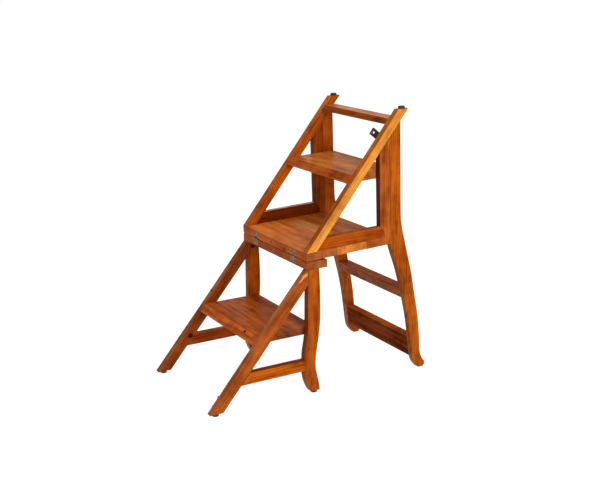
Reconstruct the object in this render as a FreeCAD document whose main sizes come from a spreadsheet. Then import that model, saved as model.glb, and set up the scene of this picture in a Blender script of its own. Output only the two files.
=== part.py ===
import FreeCAD, Part
import Sketcher
import math
import os
from types import SimpleNamespace

# Folding step stool chair of solid wood, shown opened as a ladder of three treads.
# Millimetres. X runs across the seat, -Y is the side the user climbs from, +Z is up.
# The floor is z = 0 and the fold axis crosses the origin's plane at the seat's front edge.
# The fixed base half carries the front legs, the lower stringers and the lower step.
# The folding half carries the seat, the upper stringers and the chair's back, and is
# drawn level first, then swung by seat_lift so that its back feet stand on the floor.

Vector = FreeCAD.Vector
doc = FreeCAD.newDocument("FoldingStepChair")
sheet = doc.addObject("Spreadsheet::Sheet", "Sizes")

# Driving sizes
sizes = dict(
    # side frames
    overall_width=425.0,
    side_thick=24.0,
    apron_thick=20.0,
    # fold axis
    hinge_height=450.0,
    board_gap=1.0,
    axis_setback=0.4,
    seat_lift=2.3,
    # seat and the short strip in front of it
    seat_thick=26.5,
    seat_depth=324.0,
    front_board=114.7,
    middle_board=112.6,
    strip_thick=26.0,
    strip_depth=76.0,
    # stringers, widths measured level
    lower_board=46.0,
    upper_board=39.3,
    tip_setback=7.0,
    foot_step=12.0,
    # rubber pads
    pad_height=8.0,
    pad_radius=11.0,
    # front legs
    leg_front=4.0,
    leg_back=46.0,
    leg_calf=51.8,
    leg_calf_height=270.0,
    leg_knee=-7.5,
    leg_ankle=34.5,
    leg_ankle_height=100.0,
    leg_straight_height=235.0,
    toe_front=17.0,
    toe_back=50.4,
    toe_back_height=17.0,
    # rails and steps
    rail_height=84.0,
    rail_depth=37.0,
    rail_seat_margin=4.0,
    step_thick=24.0,
    lower_step_top=225.0,
    lower_step_back=43.0,
    upper_step_rise=219.8,
    rung_thick=17.4,
    rung_depth=44.0,
    rung_drop=28.4,
    # aprons and posts
    apron_depth=39.8,
    stile_width=40.8,
    stile_tongue=24.0,
    mitre_drop=21.3,
    post_width=42.5,
    post_bend_height=98.0,
    foot_spread=119.0,
    foot_length=28.0,
    ear_kick=22.0,
    ear_rise=11.0,
    ankle_height=55.0,
    shin_height=46.0,
    # back slat and crest rail
    back_inset=2.0,
    slat_depth=35.0,
    slat_drop=173.0,
    crest_depth=74.0,
    crest_drop=355.0,
    # hinges
    hinge_offset=126.0,
    leaf_length=34.0,
    leaf_height=20.0,
    leaf_thick=1.5,
    leaf_clear=0.15,
    knuckle_radius=2.8,
    knuckle_clear=0.3,
    pin_radius=1.3,
    pin_run_clear=0.1,
    screw_radius=1.7,
    screw_spacing=20.0,
    # latch plate and hook
    latch_drop=32.7,
    latch_width=24.0,
    latch_reach=28.0,
    latch_hold=25.0,
    latch_thick=2.5,
    latch_joggle=0.4,
    latch_hole=16.0,
    latch_hole_radius=4.0,
    latch_round=2.0,
    hook_reach=34.0,
    hook_width=7.0,
    hook_thick=2.5,
    hook_height=4.6,
    hook_eye_radius=2.9,
    peg_radius=3.0,
    peg_length=2.4,
    ear_thick=1.8,
    ear_radius=3.1,
    bracket_length=17.0,
    bracket_thick=1.2,
    bracket_clear=0.3,
    bracket_screw_radius=1.2,
    hook_pin_radius=1.5,
    # eased edges
    edge_round=2.0,
    edge_bevel=1.6,
    step_round=3.0,
)
S = SimpleNamespace()


def put(name, value):
    """Enter one named size in the sheet and keep its number for the outlines."""
    row = len(vars(S)) + 1
    sheet.set("A%d" % row, str(float(value)))
    sheet.setAlias("A%d" % row, name)
    setattr(S, name, float(value))


for size_name, size_value in sizes.items():
    put(size_name, size_value)

# Sizes worked out from the driving ones
put("outer_half", S.overall_width / 2)
put("inner_half", S.outer_half - S.side_thick)
put("apron_half", S.outer_half - S.apron_thick)
put("inner_width", 2 * S.inner_half)
put("hinge_y", -S.axis_setback)
put("seat_under", S.hinge_height + S.board_gap)
put("seat_top", S.seat_under + S.seat_thick)
put("strip_top", S.hinge_height - S.board_gap)
put("strip_under", S.strip_top - S.strip_thick)
put("top_cut", 2 * S.hinge_height - S.pad_height)
put("back_face", S.seat_depth + S.post_width)
put("upper_tip", S.back_face - S.tip_setback)
put("lower_tip", S.foot_step - S.upper_tip)
put("front_zero", 0.0)
lift = math.radians(S.seat_lift)
upper_slope = S.upper_tip / (S.top_cut - S.seat_top)
lower_slope = -S.lower_tip / (S.strip_under - S.pad_height)


def upper_front(height):
    """Level position of the upper stringer's front face at a height."""
    return upper_slope * (height - S.seat_top)


def lower_front(height):
    """Position of the lower stringer's front face at a height."""
    return -lower_slope * (S.strip_under - height)


def floor_under(level_y):
    """Height, in the level drawing, of the floor that the swung half stands on."""
    arm = (level_y + S.axis_setback) * math.sin(lift)
    return S.hinge_height - (S.hinge_height + arm) / math.cos(lift)


# The ears of the back posts reach furthest back, and the stringers' tips furthest forward.
# The footprint's middle goes to the origin.
put("ankle_back", S.seat_depth + S.foot_spread)
put("sole_back", S.ankle_back + 0.57 * S.foot_length)
put("ear_back", S.ankle_back + S.ear_kick)
put("sole_back_height", floor_under(S.sole_back))
put("ear_height", S.sole_back_height + S.ear_rise)
ear_arm = Vector(0, S.ear_back - S.hinge_y, S.ear_height - S.hinge_height)
ear_reach = S.hinge_y + ear_arm.y * math.cos(lift) - ear_arm.z * math.sin(lift)
put("footprint_middle", (S.lower_tip + ear_reach) / 2)

# Swing of the folding half about the hinge line, from its level drawing to the ladder pose
hinge_line = Vector(0, S.hinge_y, S.hinge_height)
lifted = FreeCAD.Placement(Vector(0, 0, 0), FreeCAD.Rotation(Vector(1, 0, 0), S.seat_lift), hinge_line)
fixed = FreeCAD.Placement(Vector(0, -S.footprint_middle, 0), FreeCAD.Rotation())
swing = fixed.multiply(lifted)
parts = []


def finish(thing, name, place):
    """Label a sub-part, place it and keep it for writing."""
    thing.Label = name
    thing.Placement = place
    parts.append(thing)
    return thing


def number(term):
    """Number of a coordinate given as a size's name, with an optional minus sign."""
    return -getattr(S, term[1:]) if term.startswith("-") else getattr(S, term)


def expression(term):
    """Sheet expression of the same coordinate."""
    return "-Sizes." + term[1:] if term.startswith("-") else "Sizes." + term


def compute(*objects):
    """Bring the sheet and the given objects up to date, so that their edges can be read."""
    for item in (sheet,) + objects:
        item.recompute()


def new_sketch(body, name, role, offset=None):
    """Sketch on one of the body's origin planes, moved along the plane's normal."""
    sketch = body.newObject("Sketcher::SketchObject", name)
    base_plane = [item for item in body.Origin.OriginFeatures if item.Role == role][0]
    sketch.AttachmentSupport = (base_plane, "")
    sketch.MapMode = "FlatFace"
    if offset:
        sketch.setExpression("AttachmentOffset.Base.z", expression(offset))
    return sketch


def draw(sketch, corners, curves=None):
    """Closed outline through named corners. A curve leaves its corner through given points.

    curves maps a corner's index to (points, start direction, end direction)."""
    curves = curves or {}
    count = len(corners)
    places = [Vector(number(across), number(up), 0) for across, up in corners]
    for index in range(count):
        start, end = places[index], places[(index + 1) % count]
        if index in curves:
            between, leave, arrive = curves[index]
            through = [start] + [Vector(across, up, 0) for across, up in between] + [end]
            spline = Part.BSplineCurve()
            spline.interpolate(
                Points=through,
                InitialTangent=Vector(*leave, 0),
                FinalTangent=Vector(*arrive, 0),
                Scale=True,
            )
            sketch.addGeometry(spline, False)
        else:
            sketch.addGeometry(Part.LineSegment(start, end), False)
    for index in range(count):
        sketch.addConstraint(Sketcher.Constraint("Coincident", index, 2, (index + 1) % count, 1))
    for index, (across, up) in enumerate(corners):
        for kind, term in (("DistanceX", across), ("DistanceY", up)):
            mark = sketch.addConstraint(Sketcher.Constraint(kind, -1, 1, index, 1, number(term)))
            sketch.setExpression("Constraints[%d]" % mark, expression(term))


def pad(body, sketch, length, both_ways=False):
    """Pad of a sketch, its length bound to the sheet."""
    solid = body.newObject("PartDesign::Pad", "board")
    solid.Profile = sketch
    solid.setExpression("Length", expression(length))
    solid.SideType = "Symmetric" if both_ways else "One side"
    return solid


def ease(body, solid, sketch, sides, size, lengthwise=False, bevelled=False):
    """Round, or bevel, the edges along the given sides of the outline, or its corners' long edges."""
    compute(sketch, solid)
    outline = [sketch.Geometry[index] for index in sides]
    chosen = []
    for index, edge in enumerate(solid.Shape.Edges):
        middle = edge.valueAt((edge.FirstParameter + edge.LastParameter) / 2)
        across = abs(edge.tangentAt(edge.FirstParameter).x) > 0.99
        spot = Part.Vertex(middle.y, middle.z, 0)
        if lengthwise:
            near = any(spot.Point.distanceToPoint(piece.StartPoint) < 0.01 for piece in outline)
            wanted = across and near
        else:
            wanted = not across and any(spot.distToShape(piece.toShape())[0] < 0.01 for piece in outline)
        if wanted:
            chosen.append("Edge%d" % (index + 1))
    easing = body.newObject("PartDesign::Chamfer" if bevelled else "PartDesign::Fillet", "eased_edges")
    easing.Base = (solid, chosen)
    easing.setExpression("Size" if bevelled else "Radius", expression(size))
    return easing


def side_board(name, corners, place, start, thick, free, curves=None):
    """Board of a side frame: an outline in the YZ plane, padded outward from start."""
    body = doc.addObject("PartDesign::Body", name)
    sketch = new_sketch(body, name + "_outline", "YZ_Plane", start)
    draw(sketch, corners, curves)
    solid = pad(body, sketch, thick)
    ease(body, solid, sketch, free, "edge_bevel" if curves else "edge_round", bevelled=bool(curves))
    return finish(body, name, place)


def cross_board(name, corners, place, width, round_corners, radius):
    """Board between the side frames: an outline in the YZ plane, padded both ways along X."""
    body = doc.addObject("PartDesign::Body", name)
    sketch = new_sketch(body, name + "_outline", "YZ_Plane")
    draw(sketch, corners)
    solid = pad(body, sketch, width, both_ways=True)
    ease(body, solid, sketch, round_corners, radius, lengthwise=True)
    return finish(body, name, place)


# Where each side's boards start along X
sides = (("right", "inner_half", "apron_half"), ("left", "-outer_half", "-outer_half"))

# Lower stringers: sloping boards whose tops butt against the front legs
put("lower_tip_back", S.lower_tip + S.lower_board)
put("stringer_meets_leg", S.strip_under - (S.lower_board - S.leg_front) / lower_slope)
put("slope_at_leg", S.strip_under + S.leg_front / lower_slope)
lower_stringer = [
    ("lower_tip", "pad_height"),
    ("lower_tip_back", "pad_height"),
    ("leg_front", "stringer_meets_leg"),
    ("leg_front", "strip_under"),
    ("front_zero", "strip_under"),
]

# Front legs: straight behind the stringer, then a gentle S down to the toe
put("rail_top", S.rail_height + S.rail_depth)
put("knee_top", S.rail_top + S.rail_seat_margin)
put("knee_bottom", S.rail_height - S.rail_seat_margin)
leg = [
    ("leg_front", "strip_under"),
    ("leg_front", "leg_straight_height"),
    ("leg_knee", "knee_top"),
    ("leg_knee", "knee_bottom"),
    ("toe_front", "pad_height"),
    ("toe_back", "pad_height"),
    ("toe_back", "toe_back_height"),
    ("leg_ankle", "leg_ankle_height"),
    ("leg_calf", "leg_calf_height"),
    ("leg_back", "strip_under"),
]
knee_swell = S.leg_front - S.leg_knee
calf_swell = S.leg_calf - S.leg_ankle
toe_sweep = S.toe_front - S.leg_knee
heel_sweep = S.toe_back - S.leg_ankle


def between(low, high, share):
    """Height or place a share of the way from low to high."""
    return low + share * (high - low)


leg_curves = {
    1: (
        [(S.leg_front - 0.42 * knee_swell, between(S.knee_top, S.leg_straight_height, 0.5))],
        (0, -1),
        (0, -1),
    ),
    3: (
        [(S.leg_knee + 0.36 * toe_sweep, between(S.pad_height, S.knee_bottom, 0.42))],
        (0, -1),
        (0.75, -1),
    ),
    6: (
        [(S.leg_ankle + 0.55 * heel_sweep, between(S.toe_back_height, S.leg_ankle_height, 0.4))],
        (-0.2, 1),
        (0, 1),
    ),
    7: (
        [(S.leg_ankle + 0.52 * calf_swell, between(S.leg_ankle_height, S.leg_calf_height, 0.47))],
        (0, 1),
        (0, 1),
    ),
    8: (
        [(between(S.leg_back, S.leg_calf, 0.66), between(S.leg_calf_height, S.strip_under, 0.58))],
        (0, 1),
        (-0.08, 1),
    ),
}

# Lower side rails: from the stringer's back edge to the flat of the leg's knee
put("rail_low_front", lower_front(S.rail_height) + S.lower_board)
put("rail_top_front", lower_front(S.rail_top) + S.lower_board)
side_rail = [
    ("rail_low_front", "rail_height"),
    ("leg_knee", "rail_height"),
    ("leg_knee", "rail_top"),
    ("rail_top_front", "rail_top"),
]

for side, start, apron_start in sides:
    side_board("lower_stringer_" + side, lower_stringer, fixed, start, "side_thick", (0, 1, 4))
    side_board("front_leg_" + side, leg, fixed, start, "side_thick", (1, 3, 5, 6, 7, 8), leg_curves)
    side_board("lower_side_rail_" + side, side_rail, fixed, start, "side_thick", (0, 2))

# Lower step: its front edge lies in the stringers' slope
put("lower_step_under", S.lower_step_top - S.step_thick)
put("lower_step_nose", lower_front(S.lower_step_top))
put("lower_step_lip", lower_front(S.lower_step_under))
lower_step = [
    ("lower_step_lip", "lower_step_under"),
    ("lower_step_back", "lower_step_under"),
    ("lower_step_back", "lower_step_top"),
    ("lower_step_nose", "lower_step_top"),
]
cross_board("lower_step", lower_step, fixed, "inner_width", (2, 3), "step_round")

# Upper stringers, drawn level: from the seat's front corners up to their level tops
put("upper_tip_back", S.upper_tip + S.upper_board)
upper_stringer = [
    ("front_zero", "seat_top"),
    ("upper_board", "seat_top"),
    ("upper_tip_back", "top_cut"),
    ("upper_tip", "top_cut"),
]

# Stiles: up from the seat, mitred over the apron, cut to the stringer's back edge
put("stile_front", S.seat_depth - S.stile_width)
put("tongue_front", S.seat_depth - S.stile_tongue)
put("apron_top", S.seat_top + S.apron_depth)
put("mitre_low", S.apron_top - S.mitre_drop)
put("stile_top_front", S.seat_top + (S.stile_front - S.upper_board) / upper_slope)
put("stile_top_back", S.seat_top + (S.seat_depth - S.upper_board) / upper_slope)
put("post_top_back", S.seat_top + (S.back_face - S.upper_board) / upper_slope)
stile = [
    ("tongue_front", "seat_under"),
    ("seat_depth", "seat_under"),
    ("seat_depth", "stile_top_back"),
    ("stile_front", "stile_top_front"),
    ("stile_front", "apron_top"),
    ("tongue_front", "mitre_low"),
]

# Aprons: from the stringer's back edge to the stile's mitre
put("apron_top_front", upper_front(S.apron_top) + S.upper_board)
apron = [
    ("upper_board", "seat_top"),
    ("tongue_front", "seat_top"),
    ("tongue_front", "mitre_low"),
    ("stile_front", "apron_top"),
    ("apron_top_front", "apron_top"),
]

# Back posts: straight behind the stiles, then a sweep down to the curled ears they stand on
put("post_bend", S.seat_under + S.post_bend_height)
put("ankle_front", S.seat_depth + 0.72 * S.foot_spread)
put("sole_front", S.ankle_back - 0.2 * S.foot_length)
put("sole_front_height", floor_under(S.sole_front))
sweep_front = S.ankle_front - S.seat_depth
sweep_back = S.ankle_back - S.back_face
drop_front = S.seat_under - S.shin_height
drop_back = S.post_bend - S.ankle_height
post = [
    ("seat_depth", "stile_top_back"),
    ("seat_depth", "seat_under"),
    ("ankle_front", "shin_height"),
    ("sole_front", "sole_front_height"),
    ("sole_back", "sole_back_height"),
    ("ear_back", "ear_height"),
    ("ankle_back", "ankle_height"),
    ("back_face", "post_bend"),
    ("back_face", "post_top_back"),
]
# shares of the sweep reached at shares of the drop, read down the post
front_shares = ((0.20, 0.29), (0.35, 0.48), (0.51, 0.66), (0.71, 0.84), (0.81, 0.90))
back_shares = (
    (0.08, 0.04), (0.20, 0.20), (0.31, 0.37), (0.46, 0.58), (0.62, 0.75), (0.73, 0.87), (0.86, 0.96)
)
instep = ((20, 2.5), (39, 8.5))
post_curves = {
    1: (
        [
            (S.seat_depth + far * sweep_front, S.seat_under - down * drop_front)
            for down, far in front_shares
        ],
        (0.18, -1),
        (0.1, -1),
    ),
    2: (
        [(S.ankle_front + far, S.shin_height - down) for down, far in instep]
        + [(S.sole_front - 8.5, S.sole_front_height + 9)],
        (0.1, -1),
        (1.2, -1),
    ),
    4: (
        [(S.ear_back - 2.0, S.ear_height - 6.8)],
        (0.8, 1),
        (0, 1),
    ),
    5: (
        [(S.ear_back - 6.5, S.ear_height + 13), (S.ankle_back + 6.5, S.ear_height + 29)],
        (0, 1),
        (0, 1),
    ),
    6: (
        [
            (S.back_face + far * sweep_back, S.post_bend - down * drop_back)
            for down, far in reversed(back_shares)
        ],
        (0, 1),
        (0, 1),
    ),
}

for side, start, apron_start in sides:
    side_board("upper_stringer_" + side, upper_stringer, swing, start, "side_thick", (1, 2, 3))
    side_board("post_stile_" + side, stile, swing, start, "side_thick", (3,))
    side_board("seat_apron_" + side, apron, swing, apron_start, "apron_thick", (3,))
    side_board("back_post_" + side, post, swing, start, "side_thick", (1, 2, 4, 5, 6, 7), post_curves)

# Upper step and top rung: front edges in the slope of the upper stringers
put("upper_step_top", S.seat_top + S.upper_step_rise)
put("upper_step_under", S.upper_step_top - S.step_thick)
put("upper_step_nose", upper_front(S.upper_step_top))
put("upper_step_lip", upper_front(S.upper_step_under))
upper_step = [
    ("upper_step_lip", "upper_step_under"),
    ("back_face", "upper_step_under"),
    ("back_face", "upper_step_top"),
    ("upper_step_nose", "upper_step_top"),
]
cross_board("upper_step", upper_step, swing, "inner_width", (2, 3), "step_round")

put("rung_top", S.top_cut - S.rung_drop)
put("rung_under", S.rung_top - S.rung_thick)
put("rung_nose", upper_front(S.rung_top))
put("rung_lip", upper_front(S.rung_under))
put("rung_back", S.rung_nose + S.rung_depth)
top_rung = [
    ("rung_lip", "rung_under"),
    ("rung_back", "rung_under"),
    ("rung_back", "rung_top"),
    ("rung_nose", "rung_top"),
]
cross_board("top_rung", top_rung, swing, "inner_width", (1, 2, 3), "edge_round")


# Long edges of the back post as height and level position, read down the post
post_fronts = [(S.seat_under, S.seat_depth)]
post_fronts += [
    (S.seat_under - down * drop_front, S.seat_depth + far * sweep_front) for down, far in front_shares
]
post_fronts += [(S.shin_height, S.ankle_front)]
post_fronts += [(S.shin_height - down, S.ankle_front + far) for down, far in instep]
post_backs = [(S.post_bend, S.back_face)]
post_backs += [
    (S.post_bend - down * drop_back, S.back_face + far * sweep_back) for down, far in back_shares
]
post_backs += [(S.ankle_height, S.ankle_back), (-S.ankle_height, S.ankle_back)]


def edge_at(edge, height):
    """Level position of a long edge of the back post at a height."""
    for (high, near_y), (low, far_y) in zip(edge, edge[1:]):
        if low <= height <= high:
            return between(far_y, near_y, (height - low) / (high - low))
    return edge[0][1]


def back_rail(name, depth, drop):
    """Cross piece of the chair's back, nearly as deep as the posts it runs between."""
    top = S.seat_under - drop
    low = top - depth
    spots = (
        (edge_at(post_backs, low) - S.back_inset, low),
        (edge_at(post_backs, top) - S.back_inset, top),
        (edge_at(post_fronts, top) + S.back_inset, top),
        (edge_at(post_fronts, low) + S.back_inset, low),
    )
    corners = []
    for index, (across, up) in enumerate(spots):
        put("%s_y%d" % (name, index), across)
        put("%s_z%d" % (name, index), up)
        corners.append(("%s_y%d" % (name, index), "%s_z%d" % (name, index)))
    cross_board(name, corners, swing, "inner_width", (0, 1, 2, 3), "edge_round")


back_rail("back_slat", S.slat_depth, S.slat_drop)
back_rail("crest_rail", S.crest_depth, S.crest_drop)


# Boards over the full width, with the hinges let into their front edges
def box(name, length, width, height, x, y, z):
    """Box whose sizes and corner are bound to named sizes."""
    solid = doc.addObject("Part::Box", name)
    for prop, term in (("Length", length), ("Width", width), ("Height", height)):
        solid.setExpression(prop, expression(term))
    for prop, term in (("x", x), ("y", y), ("z", z)):
        solid.setExpression("Placement.Base." + prop, expression(term))
    return solid


def rod(name, radius, length, x, y, z, along=Vector(1, 0, 0)):
    """Cylinder along an axis, its radius, length and start bound to named sizes."""
    solid = doc.addObject("Part::Cylinder", name)
    solid.setExpression("Radius", expression(radius))
    solid.setExpression("Height", expression(length))
    solid.Placement.Rotation = FreeCAD.Rotation(Vector(0, 0, 1), along)
    for prop, term in (("x", x), ("y", y), ("z", z)):
        solid.setExpression("Placement.Base." + prop, expression(term))
    return solid


def join(name, pieces):
    """One solid of several."""
    solid = doc.addObject("Part::MultiFuse", name)
    solid.Shapes = pieces
    solid.Refine = True
    return solid


def cut(name, base, tools):
    """Base less the tools."""
    solid = doc.addObject("Part::Cut", name)
    solid.Base = base
    solid.Tool = tools[0] if len(tools) == 1 else join(name + "_tools", tools)
    return solid


def rounded(name, base, radius, wanted):
    """Round the edges of a solid that a test picks by their middle and direction."""
    compute(*base.OutListRecursive[::-1], base)
    solid = doc.addObject("Part::Fillet", name)
    solid.Base = base
    chosen = []
    for index, edge in enumerate(base.Shape.Edges):
        middle = edge.valueAt((edge.FirstParameter + edge.LastParameter) / 2)
        if wanted(middle, edge.tangentAt(edge.FirstParameter)):
            chosen.append((index + 1, radius, radius))
    solid.Edges = chosen
    return solid


put("leaf_slot_length", S.leaf_length + 2 * S.leaf_clear)
put("leaf_slot_height", S.leaf_height + S.leaf_clear)
put("relief_radius", S.knuckle_radius + S.knuckle_clear)
put("relief_length", S.leaf_length + 2 * S.knuckle_clear)
put("lower_leaf_bottom", S.strip_top - S.leaf_height)
put("lower_slot_bottom", S.lower_leaf_bottom - S.leaf_clear)
put("upper_leaf_bottom", S.seat_under)
for side, sign in (("right", 1), ("left", -1)):
    put("leaf_start_" + side, sign * S.hinge_offset - S.leaf_length / 2)
    put("slot_start_" + side, sign * S.hinge_offset - S.leaf_slot_length / 2)
    put("relief_start_" + side, sign * S.hinge_offset - S.relief_length / 2)


def hinge_seats(name, slot_bottom):
    """Shallow recesses for the leaves and round reliefs for the knuckles, both sides."""
    tools = []
    for side in ("right", "left"):
        tools.append(
            box(
                name + "_slot_" + side,
                "leaf_slot_length",
                "leaf_thick",
                "leaf_slot_height",
                "slot_start_" + side,
                "front_zero",
                slot_bottom,
            )
        )
        tools.append(
            rod(
                name + "_relief_" + side,
                "relief_radius",
                "relief_length",
                "relief_start_" + side,
                "hinge_y",
                "hinge_height",
            )
        )
    return tools


def along_x(tangent):
    """True for an edge that runs across the chair."""
    return abs(tangent.x) > 0.99


strip_blank = box(
    "strip_blank", "overall_width", "strip_depth", "strip_thick", "-outer_half", "front_zero", "strip_under"
)
strip_eased = rounded(
    "strip_eased",
    strip_blank,
    S.edge_round,
    lambda middle, tangent: abs(tangent.z) < 0.5 and (middle.y > 0.1 or middle.z < S.strip_top - 1),
)
finish(cut("strip_cut", strip_eased, hinge_seats("strip", "lower_slot_bottom")), "seat_front_strip", fixed)

front_blank = box(
    "front_board_blank",
    "overall_width",
    "front_board",
    "seat_thick",
    "-outer_half",
    "front_zero",
    "seat_under",
)
front_eased = rounded(
    "front_board_eased",
    front_blank,
    S.edge_round,
    lambda middle, tangent: (along_x(tangent) and middle.y < 0.1 and middle.z > S.seat_under + 1)
    or (abs(tangent.y) > 0.99 and middle.z < S.seat_under + 1),
)
finish(
    cut("front_board_cut", front_eased, hinge_seats("seat", "upper_leaf_bottom")), "seat_front_board", swing
)

put("middle_start", S.front_board)
middle_blank = box(
    "middle_board_blank",
    "overall_width",
    "middle_board",
    "seat_thick",
    "-outer_half",
    "middle_start",
    "seat_under",
)
finish(
    rounded(
        "middle_board_eased",
        middle_blank,
        S.edge_round,
        lambda middle, tangent: abs(tangent.y) > 0.99 and middle.z < S.seat_under + 1,
    ),
    "seat_middle_board",
    swing,
)

# Back board of the seat, notched at its corners round the stiles
put("back_start", S.front_board + S.middle_board)
back_board = [
    ("-outer_half", "back_start"),
    ("outer_half", "back_start"),
    ("outer_half", "tongue_front"),
    ("inner_half", "tongue_front"),
    ("inner_half", "seat_depth"),
    ("-inner_half", "seat_depth"),
    ("-inner_half", "tongue_front"),
    ("-outer_half", "tongue_front"),
]
body = doc.addObject("PartDesign::Body", "seat_back_board")
sketch = new_sketch(body, "back_board_outline", "XY_Plane", "seat_under")
draw(sketch, back_board)
solid = pad(body, sketch, "seat_thick")
compute(sketch, solid)
rear_edges = [
    "Edge%d" % (index + 1)
    for index, edge in enumerate(solid.Shape.Edges)
    if along_x(edge.tangentAt(edge.FirstParameter)) and edge.Vertexes[0].Point.y > S.seat_depth - 0.1
]
rounding = body.newObject("PartDesign::Fillet", "eased_edges")
rounding.Base = (solid, rear_edges)
rounding.setExpression("Radius", "Sizes.edge_round")
finish(body, "seat_back_board", swing)


# Rubber pads: round studs
def stud(name, x, y, z, place):
    """Pad standing upward from a point of the drawing, its sole either way up."""
    body = doc.addObject("PartDesign::Body", name)
    sketch = new_sketch(body, name + "_round", "XY_Plane")
    sketch.addGeometry(Part.Circle(Vector(0, 0, 0), Vector(0, 0, 1), S.pad_radius), False)
    sketch.addConstraint(Sketcher.Constraint("Coincident", 0, 3, -1, 1))
    mark = sketch.addConstraint(Sketcher.Constraint("Radius", 0, S.pad_radius))
    sketch.setExpression("Constraints[%d]" % mark, "Sizes.pad_radius")
    pad(body, sketch, "pad_height")
    finish(body, name, place.multiply(FreeCAD.Placement(Vector(x, y, z), FreeCAD.Rotation())))


board_middle = S.outer_half - S.side_thick / 2
stringer_pad_y = S.lower_tip + S.lower_board / 2
leg_pad_y = (S.toe_front + S.toe_back) / 2
top_pad_y = S.upper_tip + S.upper_board / 2
for side, sign in (("right", 1), ("left", -1)):
    x = sign * board_middle
    stud("stringer_pad_" + side, x, stringer_pad_y, 0, fixed)
    stud("leg_pad_" + side, x, leg_pad_y, 0, fixed)
    stud("top_pad_" + side, x, top_pad_y, S.top_cut, swing)

# Hinges: a leaf with two outer knuckles and the pin below, a leaf with the middle knuckle above
put("outer_knuckle", S.leaf_length / 3 - S.knuckle_clear / 2)
put("middle_knuckle", S.leaf_length / 3 - S.knuckle_clear)
put("running_bore", S.pin_radius + S.pin_run_clear)
put("tab_height", S.board_gap)
put("lower_screw_z", S.strip_top - 0.58 * S.leaf_height)
put("upper_screw_z", S.seat_under + 0.58 * S.leaf_height)


def screw_hole(name, x, z):
    """Hole for a screw's shank through a leaf."""
    return rod(name, "screw_radius", "leaf_thick", x, "front_zero", z, Vector(0, 1, 0))


put("outer_notch", S.outer_knuckle + 2 * S.knuckle_clear)
put("middle_notch", S.leaf_length - 2 * S.outer_knuckle)
for side, sign in (("right", 1), ("left", -1)):
    middle = sign * S.hinge_offset
    left_end = "leaf_start_" + side
    put("first_notch_" + side, middle - S.leaf_length / 2 - S.knuckle_clear)
    put("middle_notch_" + side, middle - S.middle_notch / 2)
    put("last_notch_" + side, middle + S.middle_knuckle / 2)
    put("second_knuckle_" + side, middle + S.leaf_length / 2 - S.outer_knuckle)
    put("middle_knuckle_" + side, middle - S.middle_knuckle / 2)
    put("first_screw_" + side, middle - S.screw_spacing / 2)
    put("second_screw_" + side, middle + S.screw_spacing / 2)

    pieces = [
        box(
            "lower_plate_" + side,
            "leaf_length",
            "leaf_thick",
            "leaf_height",
            left_end,
            "front_zero",
            "lower_leaf_bottom",
        )
    ]
    for index, begin in enumerate((left_end, "second_knuckle_" + side)):
        label = "%s_%d" % (side, index)
        pieces.append(
            box(
                "lower_tab_" + label,
                "outer_knuckle",
                "leaf_thick",
                "tab_height",
                begin,
                "front_zero",
                "strip_top",
            )
        )
        pieces.append(
            rod(
                "lower_knuckle_" + label,
                "knuckle_radius",
                "outer_knuckle",
                begin,
                "hinge_y",
                "hinge_height",
            )
        )
    holes = [
        screw_hole("lower_" + label + side, label + side, "lower_screw_z")
        for label in ("first_screw_", "second_screw_")
    ]
    notch = rod(
        "lower_notch_" + side,
        "relief_radius",
        "middle_notch",
        "middle_notch_" + side,
        "hinge_y",
        "hinge_height",
    )
    leaf = cut("lower_leaf_cut_" + side, join("lower_leaf_whole_" + side, pieces), holes + [notch])
    pin = rod("pin_" + side, "pin_radius", "leaf_length", left_end, "hinge_y", "hinge_height")
    finish(join("lower_leaf_pinned_" + side, [leaf, pin]), "hinge_lower_leaf_" + side, fixed)

    pieces = [
        box(
            "upper_plate_" + side,
            "leaf_length",
            "leaf_thick",
            "leaf_height",
            left_end,
            "front_zero",
            "seat_under",
        ),
        box(
            "upper_tab_" + side,
            "middle_knuckle",
            "leaf_thick",
            "tab_height",
            "middle_knuckle_" + side,
            "front_zero",
            "hinge_height",
        ),
        rod(
            "upper_knuckle_" + side,
            "knuckle_radius",
            "middle_knuckle",
            "middle_knuckle_" + side,
            "hinge_y",
            "hinge_height",
        ),
    ]
    holes = [
        screw_hole("upper_" + label + side, label + side, "upper_screw_z")
        for label in ("first_screw_", "second_screw_")
    ]
    holes.append(
        rod(
            "upper_bore_" + side,
            "running_bore",
            "relief_length",
            "relief_start_" + side,
            "hinge_y",
            "hinge_height",
        ),
    )
    for label in ("first_notch_", "last_notch_"):
        holes.append(
            rod(
                "upper_" + label + side,
                "relief_radius",
                "outer_notch",
                label + side,
                "hinge_y",
                "hinge_height",
            ),
        )
    leaf = cut("upper_leaf_cut_" + side, join("upper_leaf_whole_" + side, pieces), holes)
    finish(leaf, "hinge_upper_leaf_" + side, swing)


# Latch: a steel plate with a hole on the right upper stringer and a hook on the lower one.
# Both lie on inner faces. In each one's own frame X runs up the slope, Y square to the
# slope into the board and Z away from the face.
def slope_frame(slope, x, y, z):
    """Frame at a point of an inner face, turned to a stringer's slope."""
    turn = math.atan(slope)
    up = Vector(0, math.sin(turn), math.cos(turn))
    inward = Vector(0, math.cos(turn), -math.sin(turn))
    return FreeCAD.Placement(Vector(x, y, z), FreeCAD.Rotation(up, inward, Vector(-1, 0, 0), "XYZ"))


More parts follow.
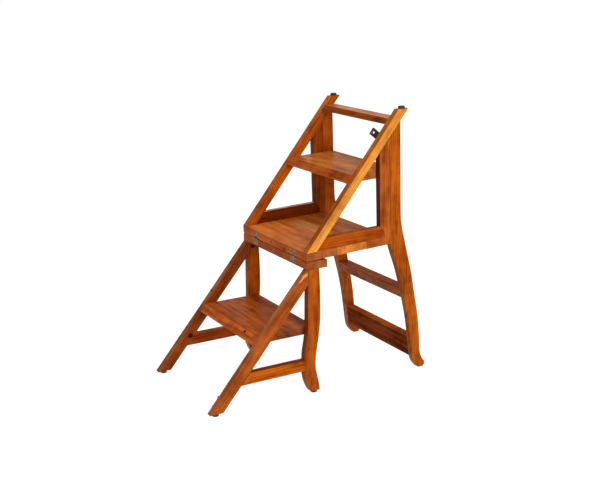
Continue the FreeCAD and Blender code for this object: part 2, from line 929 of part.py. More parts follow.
put("latch_half", S.latch_width / 2)
put("latch_top", S.latch_thick + S.latch_joggle)
latch_z = S.rung_under - S.latch_drop
latch_frame = slope_frame(upper_slope, S.inner_half, upper_front(latch_z), latch_z)
held = box(
    "latch_held", "latch_width", "latch_hold", "latch_thick", "-latch_half", "front_zero", "front_zero"
)
free = box(
    "latch_free", "latch_width", "latch_reach", "latch_thick", "-latch_half", "-latch_reach", "latch_joggle"
)
whole = rounded(
    "latch_rounded",
    join("latch_whole", [held, free]),
    S.latch_round,
    lambda middle, tangent: abs(tangent.z) > 0.99 and abs(middle.y) > 20,
)
holes = [
    rod(
        "latch_eye",
        "latch_hole_radius",
        "latch_width",
        "front_zero",
        "-latch_hole",
        "-latch_half",
        Vector(0, 0, 1),
    ),
]
put("latch_screw_in", 0.55 * S.latch_hold)
for index, along in enumerate((-1, 1)):
    put("latch_screw_%d" % index, along * S.latch_width / 4)
    holes.append(
        rod(
            "latch_screw_hole_%d" % index,
            "screw_radius",
            "latch_width",
            "latch_screw_%d" % index,
            "latch_screw_in",
            "-latch_half",
            Vector(0, 0, 1),
        )
    )
finish(cut("latch_cut", whole, holes), "latch_plate", swing.multiply(latch_frame))

# The hook's pivot lies below the place where the plate's hole comes to rest in the chair
hole_level = latch_frame.multVec(Vector(0, -S.latch_hole, 0))
hole_chair_y = 2 * S.hinge_y - hole_level.y
hole_chair_z = 2 * S.hinge_height - hole_level.z
lower_turn = math.atan(lower_slope)
pivot_y = hole_chair_y - S.hook_reach * math.sin(lower_turn)
pivot_z = hole_chair_z - S.hook_reach * math.cos(lower_turn)
hook_frame = fixed.multiply(slope_frame(lower_slope, S.inner_half, pivot_y, pivot_z))

put("bracket_width", S.hook_width + 2 * (S.bracket_clear + S.ear_thick))
put("bracket_side", S.bracket_width / 2)
put("bracket_half", S.bracket_length / 2)
put("ear_start", S.bracket_width / 2 - S.ear_thick)
put("ear_length", 2 * S.ear_radius)
pieces = [
    box(
        "bracket_plate",
        "bracket_length",
        "bracket_width",
        "bracket_thick",
        "-bracket_half",
        "-bracket_side",
        "front_zero",
    )
]
for index, begin in enumerate(("-bracket_side", "ear_start")):
    pieces.append(
        box(
            "ear_block_%d" % index,
            "ear_length",
            "ear_thick",
            "hook_height",
            "-ear_radius",
            begin,
            "front_zero",
        )
    )
    pieces.append(
        rod(
            "ear_round_%d" % index,
            "ear_radius",
            "ear_thick",
            "front_zero",
            begin,
            "hook_height",
            Vector(0, 1, 0),
        )
    )
put("bracket_screw_at", S.bracket_half - 2.6)
tools = []
for index, term in enumerate(("bracket_screw_at", "-bracket_screw_at")):
    tools.append(
        rod(
            "bracket_screw_hole_%d" % index,
            "bracket_screw_radius",
            "hook_height",
            term,
            "front_zero",
            "-bracket_thick",
            Vector(0, 0, 1),
        )
    )
bracket = cut("bracket_cut", join("bracket_whole", pieces), tools)
put("rivet_length", S.bracket_width + 1.4)
put("rivet_start", S.rivet_length / 2)
across = Vector(0, 1, 0)
rivet = rod("rivet", "hook_pin_radius", "rivet_length", "front_zero", "-rivet_start", "hook_height", across)
finish(join("bracket_riveted", [bracket, rivet]), "latch_bracket", hook_frame)

# The hook hangs down the slope at rest, its peg pointing away from the face
put("hook_half", S.hook_width / 2)
put("hook_low", S.hook_height - S.hook_thick / 2)
put("peg_low", S.hook_height + S.hook_thick / 2 - 0.5)
put("peg_run", S.peg_length + 0.5)
put("hook_bore", S.hook_pin_radius + S.pin_run_clear)
put("hook_tip", S.hook_half)
pieces = [
    box("hook_bar", "hook_reach", "hook_width", "hook_thick", "-hook_reach", "-hook_half", "hook_low"),
    rod(
        "hook_eye",
        "hook_eye_radius",
        "hook_width",
        "front_zero",
        "-hook_half",
        "hook_height",
        Vector(0, 1, 0),
    ),
    rod("hook_nose", "hook_tip", "hook_thick", "-hook_reach", "front_zero", "hook_low", Vector(0, 0, 1)),
    rod("hook_peg", "peg_radius", "peg_run", "-hook_reach", "front_zero", "peg_low", Vector(0, 0, 1)),
]
hook = cut(
    "hook_cut",
    join("hook_whole", pieces),
    [
        rod(
            "hook_eye_bore",
            "hook_bore",
            "hook_width",
            "front_zero",
            "-hook_half",
            "hook_height",
            Vector(0, 1, 0),
        ),
    ],
)
finish(hook, "latch_hook", hook_frame)

doc.recompute()
failed = [item.Name for item in doc.Objects if "Invalid" in item.State or "Error" in item.State]
if failed:
    raise RuntimeError("failed objects: %s" % ", ".join(failed))
for item in parts:
    if item.Shape.isNull() or not item.Shape.isValid() or len(item.Shape.Solids) != 1:
        raise RuntimeError("no single valid solid: %s" % item.Label)

os.makedirs("parts", exist_ok=True)
for item in parts:
    item.Shape.exportStep(os.path.join("parts", item.Label + ".step"))
print("%d parts" % len(parts))
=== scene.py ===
import math
import bmesh
import bpy
from mathutils import Matrix, Vector


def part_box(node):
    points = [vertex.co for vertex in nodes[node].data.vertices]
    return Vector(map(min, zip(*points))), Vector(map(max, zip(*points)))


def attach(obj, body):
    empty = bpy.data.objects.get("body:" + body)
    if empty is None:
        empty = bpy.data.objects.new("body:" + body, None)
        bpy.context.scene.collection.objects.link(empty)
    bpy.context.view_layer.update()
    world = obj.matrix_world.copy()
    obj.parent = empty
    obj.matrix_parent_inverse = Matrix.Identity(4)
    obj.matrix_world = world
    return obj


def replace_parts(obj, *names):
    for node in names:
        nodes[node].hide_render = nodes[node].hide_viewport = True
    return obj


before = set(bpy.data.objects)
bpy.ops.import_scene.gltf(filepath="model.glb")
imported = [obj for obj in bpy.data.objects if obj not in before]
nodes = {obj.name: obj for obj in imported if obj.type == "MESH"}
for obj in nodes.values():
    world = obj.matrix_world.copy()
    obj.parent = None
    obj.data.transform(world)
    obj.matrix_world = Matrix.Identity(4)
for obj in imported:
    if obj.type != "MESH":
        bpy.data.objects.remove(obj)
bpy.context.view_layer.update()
MM = 0.001
# How far the open ladder's folding half leans from square, about the hinge line
TIP = math.radians(2.3)

# Colour and shader helpers


def linear(code, gain=1.0):
    """An #rrggbb colour as linear RGBA, brightened by gain."""
    channels = [int(code[i:i + 2], 16) / 255 for i in (1, 3, 5)]
    light = [c / 12.92 if c <= 0.04045 else ((c + 0.055) / 1.055) ** 2.4 for c in channels]
    return [gain * part for part in light] + [1.0]


def add(tree, kind, values=None, links=None, **settings):
    """Adds one node with its settings, its input values and its incoming links."""
    item = tree.nodes.new(kind if "Node" in kind else "ShaderNode" + kind)
    for key, value in settings.items():
        setattr(item, key, value)
    for key, value in (values or {}).items():
        item.inputs[key].default_value = value
    for key, socket in (links or {}).items():
        tree.links.new(socket, item.inputs[key])
    return item


def new_material(name):
    """An empty procedural material with its output node."""
    material = bpy.data.materials.new(name)
    material.use_nodes = True
    material.node_tree.nodes.clear()
    return material, material.node_tree, add(material.node_tree, "OutputMaterial")


def coat(name, material):
    """Gives a CAD piece this material alone."""
    nodes[name].data.materials.clear()
    nodes[name].data.materials.append(material)


def ramp(tree, factor, stops):
    """Colour ramp over (place, #rrggbb) stops."""
    item = add(tree, "ValToRGB", links={"Fac": factor})
    bands = item.color_ramp.elements
    while len(bands) < len(stops):
        bands.new(0.5)
    for band, (place, code) in zip(bands, stops):
        band.position = place
        band.color = linear(code)
    return item.outputs["Color"]


def noise(tree, vector, lengths, detail=3.0, rough=0.55):
    """Noise whose features are this long, in mm, along the grain, across it and through it."""
    scales = [1 / (length * MM) for length in lengths]
    scaled = add(tree, "Mapping", {"Scale": scales}, {"Vector": vector})
    values = {"Scale": 1.0, "Detail": detail, "Roughness": rough}
    return add(tree, "TexNoise", values, {"Vector": scaled.outputs[0]}).outputs[0]


def spread(tree, value, low, high, to_low=0.0, to_high=1.0):
    """The value stretched from low..high to to_low..to_high."""
    values = {"From Min": low, "From Max": high, "To Min": to_low, "To Max": to_high}
    return add(tree, "MapRange", values, {"Value": value}).outputs[0]


def blend(tree, factor, first, second, how="MIX"):
    """Mix of two colours, each given as a socket or as numbers."""
    item = add(tree, "Mix", data_type="RGBA", blend_type=how)
    for index, given in ((0, factor), (6, first), (7, second)):
        if isinstance(given, bpy.types.NodeSocket):
            tree.links.new(given, item.inputs[index])
        else:
            item.inputs[index].default_value = given
    return item.outputs[2]


def weigh(tree, terms):
    """Sum of sockets, each times its weight."""
    total = None
    for socket, weight in terms:
        item = add(tree, "Math", {1: weight, 2: 0.0}, {0: socket}, operation="MULTIPLY_ADD")
        if total is not None:
            tree.links.new(total, item.inputs[2])
        total = item.outputs[0]
    return total


def spot(tree, place, centre, radii, lean=0, soft=0.35):
    """Mask that is 1 inside an ellipsoid and fades over its rim. Millimetres, leaning in degrees."""
    moved = add(tree, "Mapping", {
        "Location": [c * MM for c in centre],
        "Rotation": (math.radians(lean), 0, 0),
        "Scale": [r * MM for r in radii],
    }, {"Vector": place}, vector_type="TEXTURE")
    reach = add(tree, "VectorMath", links={0: moved.outputs[0]}, operation="LENGTH")
    return spread(tree, reach.outputs["Value"], 1 + soft, 1 - soft)


# Wear shows from where the rounded normal has left the face's own by the first cosine, in full
# at the second
RUB_BEGINS = 0.985
RUB_FULL = 0.90


def rubbed_corners(tree, facing, radius, strength):
    """The normal rounded over a radius in mm, and a mask of the corners that wear has rubbed."""
    rounded = add(tree, "Bevel", {"Radius": radius * MM}, samples=4).outputs[0]
    agreement = add(tree, "VectorMath", links={0: rounded, 1: facing}, operation="DOT_PRODUCT")
    return rounded, spread(tree, agreement.outputs["Value"], RUB_BEGINS, RUB_FULL, 0.0, strength)


# Varnished wood: how long each feature is along the grain, across it and through it, in mm.
# Real fibres and pores are a few tenths of a millimetre wide, too fine to show in the render, so
# they are drawn as bundles and wider pores
CLOUD = (150, 34, 34)
STREAK = (240, 10, 10)
FIBRE = (100, 2.4, 2.4)
CURL = (30, 40, 40)
PORE = (14, 0.7, 0.7)
# Growth rings: their spacing and the heart's place beside the board, in mm, how much they are
# drawn out along the grain, and the length of one wave of a wave texture at scale 1, in metres
RING = 7.0
HEART = (70, 50)
DRAWN_OUT = 0.10
WAVE = 0.314
# Each board is cut from its own place in the wood, one more step on than the board before
CUT_STEP = (0.37, 0.11, 0.19)
PORE_BROWN = "#3F2112"
# The corners of the boards are rounded by this in mm, worn by this share and paler by this gain
BOARD_ROUNDING = 2.2
BOARD_WEAR = 0.22
WORN_GAIN = 1.3


def varnished_wood(name, tones, grain, across, seed, figure, shine, marks):
    """Satin varnished hardwood: warm red brown boards with soft clouds, fine dark pores and a low
    shine. tones are the colours of its broad faces, its narrow edges and its end grain, with painted
    light and shade in them, grain the way the board runs and across the way its edges face, figure
    how strongly its pattern shows, shine how much the varnish mirrors, and marks are knots and other
    dark spots, dark streaks, pale sapwood and a patch of painted sheen."""
    material, tree, out = new_material(name)
    place = add(tree, "TexCoord").outputs["Object"]
    along = Vector(grain).normalized()
    side = Vector(across).normalized()
    turn = Matrix((along, side, along.cross(side))).to_euler("XYZ")
    cut = [step * seed for step in CUT_STEP]
    board = add(tree, "Mapping", {"Rotation": turn, "Location": cut}, {"Vector": place}).outputs[0]

    # Clouds of tone along the board, long streaks, fine fibre, growth rings, cross curl and pores
    clouds = noise(tree, board, CLOUD, 2.0)
    streaks = noise(tree, board, STREAK)
    fibre = noise(tree, board, FIBRE, rough=0.6)
    curl = noise(tree, board, CURL, 1.0)
    pores = noise(tree, board, PORE, 2.0, 0.5)
    from_heart = add(tree, "Mapping", {
        "Rotation": turn, "Location": (cut[0], HEART[0] * MM, HEART[1] * MM),
    }, {"Vector": place}).outputs[0]
    stretched = add(tree, "Mapping", {"Scale": (DRAWN_OUT, 1, 1)}, {"Vector": from_heart}).outputs[0]
    rings = add(tree, "TexWave", {
        "Scale": WAVE / (RING * MM), "Distortion": 7.0, "Detail": 2.0, "Detail Scale": 0.7,
    }, {"Vector": stretched}, wave_type="RINGS", rings_direction="X", wave_profile="SIN").outputs[1]
    # The span of each feature that counts, and its share of the tone
    mixed = weigh(tree, (
        (spread(tree, clouds, 0.32, 0.68), 0.36),
        (spread(tree, streaks, 0.28, 0.72), 0.16),
        (spread(tree, fibre, 0.30, 0.70), 0.20),
        (rings, 0.14),
        (spread(tree, curl, 0.3, 0.7), 0.14),
    ))
    reach = 0.36 / figure
    tone = spread(tree, mixed, 0.5 - reach, 0.5 + reach)
    shade = ramp(tree, tone, ((0.02, "#A68E7C"), (0.35, "#CEC2B5"), (0.65, "#E7E3DD"), (0.98, "#FFFFFF")))

    # Edges and end grain get tones of their own, partly from how they took the stain and partly
    # painted light and shade for the way each face met the light
    facing = add(tree, "NewGeometry").outputs["Normal"]
    colour = linear(tones[0])
    for axis, code in ((side, tones[1]), (along, tones[2])):
        turned = add(tree, "VectorMath", {1: axis}, {0: facing}, operation="DOT_PRODUCT")
        squareness = add(tree, "Math", links={0: turned.outputs["Value"]}, operation="ABSOLUTE").outputs[0]
        colour = blend(tree, spread(tree, squareness, 0.60, 0.78), colour, linear(code))
    for centre, radii, lean, code, strength in marks:
        inside = spot(tree, place, centre, radii, lean)
        ragged = weigh(tree, ((inside, 1.0), (spread(tree, streaks, 0.3, 0.7, -0.3, 0.3), 1.0)))
        colour = blend(tree, spread(tree, ragged, 0.25, 0.85, 0.0, strength), colour, linear(code))
    colour = blend(tree, 1.0, colour, shade, "MULTIPLY")
    colour = blend(tree, spread(tree, pores, 0.57, 0.70, 0.0, 0.4), colour, linear(PORE_BROWN))

    # Corners rubbed a little paler where the varnish has worn
    rounded, worn = rubbed_corners(tree, facing, BOARD_ROUNDING, BOARD_WEAR)
    colour = blend(tree, worn, colour, linear(tones[0], WORN_GAIN))

    # The varnish is a little duller along the streaks and over the pores, and not quite even there
    polish = weigh(tree, ((streaks, 0.12), (pores, 0.06)))
    gloss = add(tree, "Math", {1: 0.26}, {0: polish}, operation="ADD").outputs[0]
    height = weigh(tree, ((pores, 1.0), (rings, 0.4)))
    relief = {"Strength": 0.12, "Distance": 0.2 * MM}
    bump = add(tree, "Bump", relief, {"Height": height, "Normal": rounded})
    shader = add(tree, "BsdfPrincipled", {"Specular IOR Level": shine}, {
        "Base Color": colour, "Roughness": gloss, "Normal": bump.outputs[0],
    })
    tree.links.new(shader.outputs[0], out.inputs[0])
    return material


# Which way each board's grain runs, and which way its narrow edges face


def sloping(angle):
    """Grain that leans back this far from upright as it rises, and edges square to it."""
    return (0, math.sin(angle), math.cos(angle)), (0, math.cos(angle), -math.sin(angle))


ACROSS_FLAT = ((1, 0, 0), (0, 1, 0))
ACROSS_UPRIGHT = ((1, 0, 0), (0, 0, 1))
UPRIGHT = ((0, 0, 1), (0, 1, 0))
FORE_AND_AFT = ((0, 1, 0), (0, 0, 1))
# How far the stringers run back and how far they rise, in mm
LOWER_RUN, LOWER_RISE = 347.5, 415
UPPER_RUN, UPPER_RISE = 359.5, 414.5
LOWER_SLOPE = sloping(math.atan(LOWER_RUN / LOWER_RISE))
UPPER_SLOPE = sloping(math.atan(UPPER_RUN / UPPER_RISE) - TIP)

# Each board's own tones, judged from the photo: broad faces, edges and end grain. They hold
# painted light and shade as well as the wood's own colour: faces in the key light are paler, faces
# turned from it or tucked under others are darker, and the tops of the seat boards, steps and rung
# hold painted sheen
BOARD_TONES_WITH_PAINTED_LIGHT = {
    "lower_stringer_right": (LOWER_SLOPE, "#AD571C", "#B3612F", "#934916"),
    "lower_stringer_left": (LOWER_SLOPE, "#863E10", "#94522C", "#70330E"),
    "front_leg_right": (UPRIGHT, "#A64F0E", "#943B04", "#8D4207"),
    "front_leg_left": (UPRIGHT, "#B05204", "#B26116", "#974402"),
    "lower_side_rail_right": (FORE_AND_AFT, "#BA5D09", "#8E4202", "#9E4E07"),
    "lower_side_rail_left": (FORE_AND_AFT, "#A04307", "#C57830", "#863906"),
    "lower_step": (ACROSS_FLAT, "#AC571E", "#CE6722", "#854527"),
    "seat_front_strip": (ACROSS_FLAT, "#B8662C", "#AB5417", "#9B582B"),
    "upper_stringer_right": (UPPER_SLOPE, "#E2953D", "#A95A13", "#C27E34"),
    "upper_stringer_left": (UPPER_SLOPE, "#AF520A", "#AE591F", "#954406"),
    # Painted shade: the dark edge tone stands for the shadow on the stile's front face
    "post_stile_right": (UPRIGHT, "#AD5819", "#682306", "#934A15"),
    "post_stile_left": (UPRIGHT, "#994302", "#793702", "#803702"),
    "seat_apron_right": (FORE_AND_AFT, "#A74C09", "#9E4B09", "#8F4107"),
    # Painted shade: the dark broad tone stands for the shadow on the apron's inner face under the seat
    "seat_apron_left": (FORE_AND_AFT, "#782E08", "#EAC2AC", "#5D1A05"),
    "back_post_right": (UPRIGHT, "#AF560B", "#A65302", "#944807"),
    "back_post_left": (UPRIGHT, "#AB510A", "#915935", "#944309"),
    "upper_step": (ACROSS_FLAT, "#C17030", "#AB5219", "#B26C35"),
    # Painted sheen: the pale greyish broad tone stands for the sheen on the rung's top
    "top_rung": (ACROSS_FLAT, "#B87848", "#823C05", "#9D643C"),
    "back_slat": (ACROSS_UPRIGHT, "#8D4C1F", "#AF550E", "#79401A"),
    # Painted shade: the dark tones stand for the shade the crest rail lies in, low down facing the steps
    "crest_rail": (ACROSS_UPRIGHT, "#74371A", "#BA662C", "#5F1202"),
    # Painted sheen: the seat boards' pale broad tones stand for the sheen on the seat top
    "seat_front_board": (ACROSS_FLAT, "#D47732", "#B95A14", "#A85D30"),
    "seat_middle_board": (ACROSS_FLAT, "#C76723", "#B4601E", "#D88538"),
    "seat_back_board": (ACROSS_FLAT, "#D57D35", "#C1712F", "#A75920"),
}
# Marks in the wood, and one patch of painted sheen: centre and radii in mm, lean in degrees, tone
# and strength
SAPWOOD = "#FFB878"
# Pale colour of the painted sheen on the seat top
PAINTED_SEAT_SHEEN = "#F2B070"
GREY_RUB = "#B08468"
KNOT = "#2A0E06"
DARK_STREAK = "#6E2C0C"
RED_PATCH = "#7A2606"
MARKS = {
    "lower_stringer_right": [
        ((212, -74, 406), (14, 5.5, 13), -56, SAPWOOD, 0.75),
        ((212, -87, 394), (14, 2.5, 13), -50, SAPWOOD, 0.7),
    ],
    "lower_stringer_left": [
        ((-188, -292, 118), (10, 10, 9), 0, KNOT, 0.95),
        ((-206, -201, 265), (8, 5, 8), 0, KNOT, 0.8),
    ],
    # A dark spot on the leg's inner face just under the seat strip, drawn in the knot colour
    "front_leg_left": [((-188, -44, 406), (8, 12, 9), 0, KNOT, 1.0)],
    "lower_step": [
        ((110, -238, 219), (6, 6, 5), 0, KNOT, 0.85),
        ((78, -224, 225), (16, 5, 5), 0, KNOT, 0.5),
    ],
    "back_post_right": [
        ((212, 277, 521), (6, 5, 26), 0, DARK_STREAK, 0.65),
        ((212, 249, 641), (4, 1.4, 185), 2.3, DARK_STREAK, 0.7),
    ],
    "post_stile_right": [((212, 249, 641), (4, 1.4, 185), 2.3, DARK_STREAK, 0.7)],
    "front_leg_right": [
        ((212, -60, 158), (6, 4, 6), 0, DARK_STREAK, 0.6),
        ((212, -44, 43), (6, 9, 16), 0, RED_PATCH, 0.45),
    ],
    # Two small dark spots along the front board's lower edge, near the gap and the near hinge, drawn in
    # the knot colour
    "seat_front_board": [
        ((-16, -68, 464), (4, 6, 8), 0, KNOT, 0.6),
        ((69, -68, 458), (9, 6, 7), 0, KNOT, 0.55),
    ],
    # Painted sheen: a broad pale patch across the middle of the seat top stands for the varnish's sheen
    "seat_middle_board": [((-45, 105, 480), (120, 40, 20), 0, PAINTED_SEAT_SHEEN, 0.5)],
    "seat_front_strip": [((-4, -68, 438), (9, 6, 6), 0, GREY_RUB, 0.5)],
}
# How strongly the figure shows, on most boards and where a board differs
USUAL_FIGURE = 1.6
FIGURE = {
    "seat_front_board": 1.1, "seat_middle_board": 1.0, "seat_back_board": 1.2,
    "seat_front_strip": 1.2, "upper_stringer_right": 1.2, "lower_stringer_right": 1.3,
    "upper_step": 1.35,
}
# How much the varnish mirrors, and where it has gone dull
USUAL_SHINE = 0.025
SHINE = {"crest_rail": 0.0}
for seed, (name, (run, *tones)) in enumerate(BOARD_TONES_WITH_PAINTED_LIGHT.items(), 1):
    figure = FIGURE.get(name, USUAL_FIGURE)
    shine = SHINE.get(name, USUAL_SHINE)
    marks = MARKS.get(name, ())
    coat(name, varnished_wood("varnished_" + name, tones, *run, seed, figure, shine, marks))


# The corners of the metal are rounded by this in mm, worn by this share and brighter by this gain
METAL_ROUNDING = 0.6
METAL_WEAR = 0.5
RUBBED_GAIN = 1.4


def metal(name, tones, rough, patina=6, band=(0.35, 0.65)):
    """Old metal: its two tones in patches of patina mm, with harder rims the narrower the band,
    duller where it is dark and bright at rubbed corners."""
    material, tree, out = new_material(name)
    place = add(tree, "TexCoord").outputs["Object"]
    patches = noise(tree, place, (patina,) * 3, 4.0, 0.6)
    colour = ramp(tree, patches, tuple(zip(band, tones)))
    dull = spread(tree, patches, 0.3, 0.7, rough + 0.12, rough - 0.08)
    facing = add(tree, "NewGeometry").outputs["Normal"]
    rubbed = rubbed_corners(tree, facing, METAL_ROUNDING, METAL_WEAR)[1]
    colour = blend(tree, rubbed, colour, linear(tones[1], RUBBED_GAIN))
    shader = add(tree, "BsdfPrincipled", {"Metallic": 0.85}, {"Base Color": colour, "Roughness": dull})
    tree.links.new(shader.outputs[0], out.inputs[0])
    return material


def rubber(name, tones, mottle, rough):
    """Moulded rubber: matt, with a faint dusty mottle of this size in mm."""
    material, tree, out = new_material(name)
    place = add(tree, "TexCoord").outputs["Object"]
    colour = ramp(tree, noise(tree, place, (mottle,) * 3), ((0.35, tones[0]), (0.7, tones[1])))
    shader = add(tree, "BsdfPrincipled", {"Roughness": rough}, {"Base Color": colour})
    tree.links.new(shader.outputs[0], out.inputs[0])
    return material


# Antique brass of the hinge leaves: dull yellow brown, brighter at rubbed corners
antique_brass = metal("antique_brass", ("#40291A", "#906C48"), 0.34, 12, (0.32, 0.70))
# Dark bronze of all the screws: duller and darker than the leaves, so the heads read as dots
dark_bronze = metal("dark_bronze", ("#1A110A", "#3C2A1A"), 0.45)
# Blackened steel of the latch: nearly black with a faint soft shine
black_steel = metal("blackened_steel", ("#261D18", "#5A483C"), 0.42, 15, (0.3, 0.75))
# Black brown rubber of the pads: no shine at all
dark_rubber = rubber("dark_rubber", ("#1C130E", "#33241B"), 4, 0.72)
for name in ("hinge_lower_leaf", "hinge_upper_leaf"):
    coat(name + "_left", antique_brass)
    coat(name + "_right", antique_brass)
for name in ("latch_plate", "latch_bracket", "latch_hook"):
    coat(name, black_steel)

# Rubber pads: short studs with rounded rims, in place of the plain discs. All in mm
PAD_RADIUS = 11
PAD_HEIGHT = 8
PAD_RIM = 2.2
RIM_STEPS = 6
ROUND_STEPS = 48
PAD_X = 200.5
STRINGER_PAD_Y = -392.25
LEG_PAD_Y = -34.05


def turned_stud(name, place, body):
    """A round pad turned from its profile, its upper rim rounded half as much, standing at place."""
    turns = [math.pi / 2 * step / RIM_STEPS for step in range(RIM_STEPS + 1)]
    rim, half = PAD_RIM, PAD_RIM / 2
    profile = [(0.0, 0.0)]
    profile += [(PAD_RADIUS - rim + rim * math.sin(a), rim - rim * math.cos(a)) for a in turns]
    waist, shoulder = PAD_RADIUS - half, PAD_HEIGHT - half
    profile += [(waist + half * math.cos(a), shoulder + half * math.sin(a)) for a in turns]
    profile.append((0.0, PAD_HEIGHT))
    mesh = bpy.data.meshes.new(name)
    shape = bmesh.new()
    line = [shape.verts.new((r * MM, 0, z * MM)) for r, z in profile]
    edges = [shape.edges.new(pair) for pair in zip(line, line[1:])]
    bmesh.ops.spin(
        shape, geom=line + edges, axis=(0, 0, 1), cent=(0, 0, 0), angle=2 * math.pi, steps=ROUND_STEPS
    )
    bmesh.ops.remove_doubles(shape, verts=shape.verts, dist=1e-6)
    bmesh.ops.recalc_face_normals(shape, faces=shape.faces)
    shape.transform(place)
    shape.to_mesh(mesh)
    shape.free()
    mesh.polygons.foreach_set("use_smooth", [True] * len(mesh.polygons))
    mesh.materials.append(dark_rubber)
    pad = bpy.data.objects.new(name, mesh)
    bpy.context.scene.collection.objects.link(pad)
    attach(pad, body)
    return pad


for side, sign in (("left", -1), ("right", 1)):
    for kind, y in (("stringer_pad", STRINGER_PAD_Y), ("leg_pad", LEG_PAD_Y)):
        where = Matrix.Translation((sign * PAD_X * MM, y * MM, 0))
        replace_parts(turned_stud("rubber_" + kind + "_" + side, where, "base_half"), kind + "_" + side)
    low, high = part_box("top_pad_" + side)
    middle = Matrix.Translation((Vector(low) + Vector(high)) / 2)
    upside_down = Matrix.Rotation(TIP + math.pi, 4, "X")
    half_down = Matrix.Translation((0, 0, -PAD_HEIGHT * MM / 2))
    where = middle @ upside_down @ half_down
    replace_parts(turned_stud("rubber_top_pad_" + side, where, "folding_half"), "top_pad_" + side)

# Slotted screw heads, set on points by geometry nodes


def screw_head_group():
    """Node group that stands a slotted head on every point of a mesh, facing the way its outward
    attribute says, its slot turned by chance."""
    group = bpy.data.node_groups.new("slotted_screw_heads", "GeometryNodeTree")
    sockets = group.interface.new_socket
    sockets("Geometry", in_out="INPUT", socket_type="NodeSocketGeometry")
    for name in ("Head radius", "Head height", "Slot width"):
        sockets(name, in_out="INPUT", socket_type="NodeSocketFloat")
    sockets("Seed", in_out="INPUT", socket_type="NodeSocketInt")
    sockets("Finish", in_out="INPUT", socket_type="NodeSocketMaterial")
    sockets("Geometry", in_out="OUTPUT", socket_type="NodeSocketGeometry")
    given = add(group, "NodeGroupInput").outputs

    # The head tapers to this share of its radius, and a bar longer than the head cuts the slot
    taper = 0.8
    bar_length = 3.0
    top = add(group, "Math", {1: taper}, {0: given["Head radius"]}, operation="MULTIPLY").outputs[0]
    head = add(group, "GeometryNodeMeshCone", {"Vertices": 24}, {
        "Radius Top": top, "Radius Bottom": given["Head radius"], "Depth": given["Head height"],
    }).outputs["Mesh"]
    wide = add(group, "Math", {1: bar_length}, {0: given["Head radius"]}, operation="MULTIPLY").outputs[0]
    sides = {0: wide, 1: given["Slot width"], 2: given["Head height"]}
    size = add(group, "CombineXYZ", links=sides).outputs[0]
    bar = add(group, "GeometryNodeMeshCube", links={"Size": size}).outputs["Mesh"]
    lift = add(group, "CombineXYZ", links={2: given["Head height"]}).outputs[0]
    bar = add(group, "GeometryNodeTransform", links={"Geometry": bar, "Translation": lift}).outputs[0]
    slotted = add(group, "GeometryNodeMeshBoolean", links={"Mesh 1": head, "Mesh 2": bar}).outputs["Mesh"]

    outward = add(
        group, "GeometryNodeInputNamedAttribute", {"Name": "outward"}, data_type="FLOAT_VECTOR"
    ).outputs[0]
    facing = add(
        group, "FunctionNodeAlignRotationToVector", links={"Vector": outward}, axis="Z"
    ).outputs[0]
    chance = add(group, "FunctionNodeRandomValue", {3: math.pi}, {"Seed": given["Seed"]}).outputs[1]
    twist = add(group, "CombineXYZ", links={2: chance}).outputs[0]
    twist = add(group, "FunctionNodeEulerToRotation", links={0: twist}).outputs[0]
    turned = add(
        group, "FunctionNodeRotateRotation", links={0: facing, 1: twist}, rotation_space="LOCAL"
    ).outputs[0]
    heads = add(group, "GeometryNodeInstanceOnPoints", links={
        "Points": given["Geometry"], "Instance": slotted, "Rotation": turned,
    }).outputs[0]
    real = add(group, "GeometryNodeRealizeInstances", links={"Geometry": heads}).outputs[0]
    finished = {"Geometry": real, "Material": given["Finish"]}
    coated = add(group, "GeometryNodeSetMaterial", links=finished).outputs[0]
    add(group, "NodeGroupOutput", links={0: coated})
    return group


def screws(group, name, body, settings, places):
    """One mesh of screw heads riding a body. places are points in mm with the way each head faces."""
    mesh = bpy.data.meshes.new(name)
    mesh.from_pydata([point * MM for point, way in places], [], [])
    outward = mesh.attributes.new("outward", "FLOAT_VECTOR", "POINT")
    outward.data.foreach_set("vector", [part for point, way in places for part in way])
    heads = bpy.data.objects.new(name, mesh)
    bpy.context.scene.collection.objects.link(heads)
    modifier = heads.modifiers.new("heads", "NODES")
    modifier.node_group = group
    for item in group.interface.items_tree:
        if item.in_out == "INPUT" and item.name in settings:
            modifier[item.identifier] = settings[item.name]
    ready = heads.evaluated_get(bpy.context.evaluated_depsgraph_get())
    heads.data = bpy.data.meshes.new_from_object(ready)
    heads.modifiers.clear()
    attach(heads, body)


# Where the screws sit, in mm. The folding half's points are given square and then tipped
HINGE_LINE = Vector((0, -68.1478, 450))
TO_HINGE = Matrix.Translation(HINGE_LINE)
TIPPED = TO_HINGE @ Matrix.Rotation(TIP, 4, "X") @ TO_HINGE.inverted()
FORWARD = Vector((0, -1, 0))
INWARD = Vector((-1, 0, 0))
LEAF_FACE_Y = -67.35
LOWER_LEAF_Z = 437.4
UPPER_LEAF_Z = 462.6
HINGE_X = 126
FROM_MIDDLE = 10
hinge_places = [side * HINGE_X + step for side in (-1, 1) for step in (-FROM_MIDDLE, FROM_MIDDLE)]
# The latch plate's upper edge, the way up its stringer and the way square to that, down the plate
PLATE_EDGE = Vector((186, 223.67, 813.5))
PLATE_UP = Vector((0, 0.65521, 0.75545))
PLATE_DOWN = Vector((0, 0.75545, -0.65521))
DOWN_THE_PLATE = 13.75
plate_places = [PLATE_EDGE + PLATE_UP * step + PLATE_DOWN * DOWN_THE_PLATE for step in (-6, 6)]
# The latch bracket's middle and the way up its stringer
BRACKET_MIDDLE = Vector((187.3, -369.71, 49.95))
BRACKET_UP = Vector((0, 0.64199, 0.76671))
bracket_places = [BRACKET_MIDDLE + BRACKET_UP * step for step in (-5.9, 5.9)]

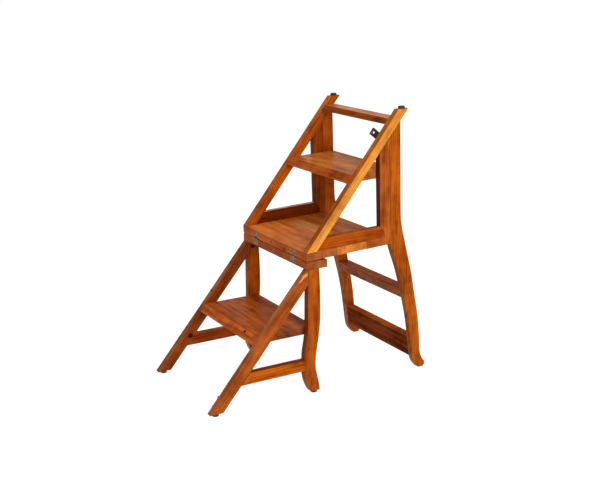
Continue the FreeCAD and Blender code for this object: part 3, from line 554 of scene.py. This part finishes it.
group = screw_head_group()
hinge_screw = {
    "Head radius": 2.9 * MM, "Head height": 0.7 * MM, "Slot width": 0.8 * MM,
    "Seed": 3, "Finish": dark_bronze,
}
plate_screw = dict(hinge_screw, **{"Head radius": 2.8 * MM, "Seed": 8})
bracket_screw = dict(hinge_screw, **{"Head radius": 1.9 * MM, "Seed": 5})
screws(group, "hinge_screws_lower", "base_half", hinge_screw,
       [(Vector((x, LEAF_FACE_Y, LOWER_LEAF_Z)), FORWARD) for x in hinge_places])
upper_forward = TIPPED.to_3x3() @ FORWARD
screws(group, "hinge_screws_upper", "folding_half", hinge_screw,
       [(TIPPED @ Vector((x, LEAF_FACE_Y, UPPER_LEAF_Z)), upper_forward) for x in hinge_places])
screws(group, "latch_plate_screws", "folding_half", plate_screw,
       [(TIPPED @ point, INWARD) for point in plate_places])
screws(group, "latch_bracket_screws", "base_half", bracket_screw,
       [(point, INWARD) for point in bracket_places])

# Studio: pale paper floor, white surround and soft lights, in metres
FLOOR_SIDE = 200
FLOOR_DROP = 0.2 * MM
LAMPS_AIM = Vector((0, 0, 0.45))


def studio():
    """Pale lit floor, a surround that is white at the horizon and dims upward, and soft lights."""
    # Pale paper: evenly white and without a shine, so only the softest shadow stays under the feet
    material, tree, out = new_material("pale_paper_floor")
    place = add(tree, "TexCoord").outputs["Object"]
    colour = ramp(tree, noise(tree, place, (500, 500, 500)), ((0.3, "#A2A2A2"), (0.7, "#AAAAAA")))
    shader = add(tree, "BsdfPrincipled", {
        "Roughness": 0.9, "Specular IOR Level": 0.0,
        "Emission Strength": 0.86, "Emission Color": linear("#FFFFFF"),
    }, {"Base Color": colour})
    tree.links.new(shader.outputs[0], out.inputs[0])
    bpy.ops.mesh.primitive_plane_add(size=FLOOR_SIDE)
    floor = bpy.context.object
    floor.name = "floor"
    floor.location.z = -FLOOR_DROP
    floor.data.materials.append(material)

    world = bpy.data.worlds.new("white_surround")
    bpy.context.scene.world = world
    world.use_nodes = True
    tree = world.node_tree
    direction = add(tree, "TexCoord").outputs["Generated"]
    height = add(tree, "SeparateXYZ", links={0: direction}).outputs["Z"]
    strength = spread(tree, height, low=0.12, high=0.5, to_low=1.02, to_high=0.35)
    tree.links.new(strength, tree.nodes["Background"].inputs["Strength"])
    tree.nodes["Background"].inputs["Color"].default_value = linear("#FFFFFF")
    for name, place, size, power in (
        ("key_softbox", (3.2, -0.3, 2.0), 1.4, 70),
        ("top_light", (0.2, -0.2, 3.2), 1.8, 40),
    ):
        light = bpy.data.lights.new(name, "AREA")
        light.size = size
        light.energy = power
        lamp = bpy.data.objects.new(name, light)
        lamp.location = place
        lamp.rotation_mode = "QUATERNION"
        lamp.rotation_quaternion = (LAMPS_AIM - Vector(place)).to_track_quat("-Z", "Y")
        bpy.context.scene.collection.objects.link(lamp)


def photo_camera():
    """The camera of the reference photo, found by fitting the object's corners."""
    lens = bpy.data.cameras.new("photo_camera")
    lens.lens = 59.17
    lens.sensor_width = 36.0
    lens.clip_end = 300.0
    camera = bpy.data.objects.new("photo_camera", lens)
    camera.location = (2.74302, -1.61475, 1.33407)
    camera.rotation_mode = "QUATERNION"
    camera.rotation_quaternion = Vector((-0.826668, 0.496994, -0.263849)).to_track_quat("-Z", "Y")
    bpy.context.scene.collection.objects.link(camera)
    bpy.context.scene.camera = camera


studio()
photo_camera()
bpy.context.scene.view_settings.view_transform = "Standard"
